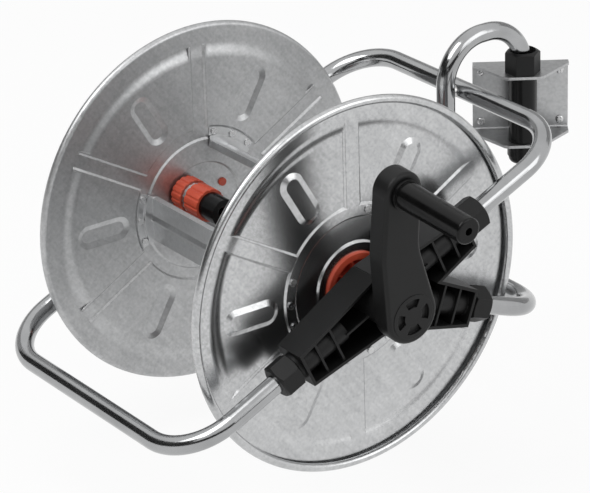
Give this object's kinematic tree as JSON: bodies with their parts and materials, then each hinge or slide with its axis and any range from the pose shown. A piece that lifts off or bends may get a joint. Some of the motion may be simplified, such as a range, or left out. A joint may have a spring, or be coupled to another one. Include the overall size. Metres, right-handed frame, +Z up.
{
  "type": "hose reel",
  "caption": "Wall-mounted swivelling garden hose reel: a galvanised drum with a crank turns in a bent tube frame that swings on a pivot bracket.",
  "frame": {"origin": "centre of the wall plate's back face", "axes": "+Z up along the pivot, +Y into the wall, -Y towards the user; the frame is stored swung as in the picture"},
  "size_m": [0.5995, 0.561, 0.4],
  "materials": {
    "galvanised": "galvanised sheet with light spangle",
    "rivet_steel": "zinc plated",
    "chrome": "polished",
    "black_plastic": "fine grained",
    "orange_plastic": "satin",
    "bright_trim": "bright plated",
    "bearing_plastic": "natural",
    "seal_rubber": "matt"
  },
  "bodies": {
    "bracket": {"wall_bracket": "galvanised"},
    "frame": {"pivot_sleeve": "black_plastic", "pivot_ring": "black_plastic", "pivot_nut": "black_plastic", "swing_arm": "chrome", "frame_tube_upper": "chrome", "frame_tube_lower": "chrome", "frame_tube_left": "chrome", "arm_welds": "chrome", "front_spider": "black_plastic", "rear_spider": "black_plastic", "front_tube_nuts": "black_plastic", "rear_tube_nuts": "black_plastic", "front_bush": "bearing_plastic", "rear_bush": "bearing_plastic", "inlet_fitting": "black_plastic", "inlet_seal": "seal_rubber"},
    "drum": {"front_disc": "galvanised", "rear_disc": "galvanised", "core_bar_1": "galvanised", "core_bar_2": "galvanised", "core_bar_3": "galvanised", "front_rivets": "rivet_steel", "rear_rivets": "rivet_steel", "drive_hub": "orange_plastic", "drive_shaft": "rivet_steel", "rear_hub": "orange_plastic", "outlet_nipple": "orange_plastic", "connector_ring": "bright_trim", "connector_body": "orange_plastic", "connector_nut": "black_plastic", "crank_arm": "black_plastic", "crank_cap": "black_plastic", "crank_screw": "rivet_steel", "grip_pin": "rivet_steel"},
    "grip": {"crank_grip": "black_plastic"},
    "collar": {"connector_collar": "orange_plastic"}
  },
  "joints": [
    {"name": "swivel", "type": "hinge", "parent": "bracket", "child": "frame", "pos_m": [0, -0.0375, 0], "axis": [0, 0, 1], "range_deg": [0, 90]},
    {"name": "drum_spin", "type": "hinge", "parent": "frame", "child": "drum", "pos_m": [-0.27026, -0.22674, -0.067], "axis": [0.5736, -0.8192, 0], "continuous": true},
    {"name": "grip_spin", "type": "hinge", "parent": "drum", "child": "grip", "pos_m": [-0.11595, -0.47279, 0.06636], "axis": [0.5784, -0.8128, -0.0693], "continuous": true},
    {"name": "collar_slide", "type": "slide", "parent": "drum", "child": "collar", "axis": [0.5736, -0.8192, 0], "range_m": [0, 0.004], "stiffness_N_per_m": 300}
  ]
}
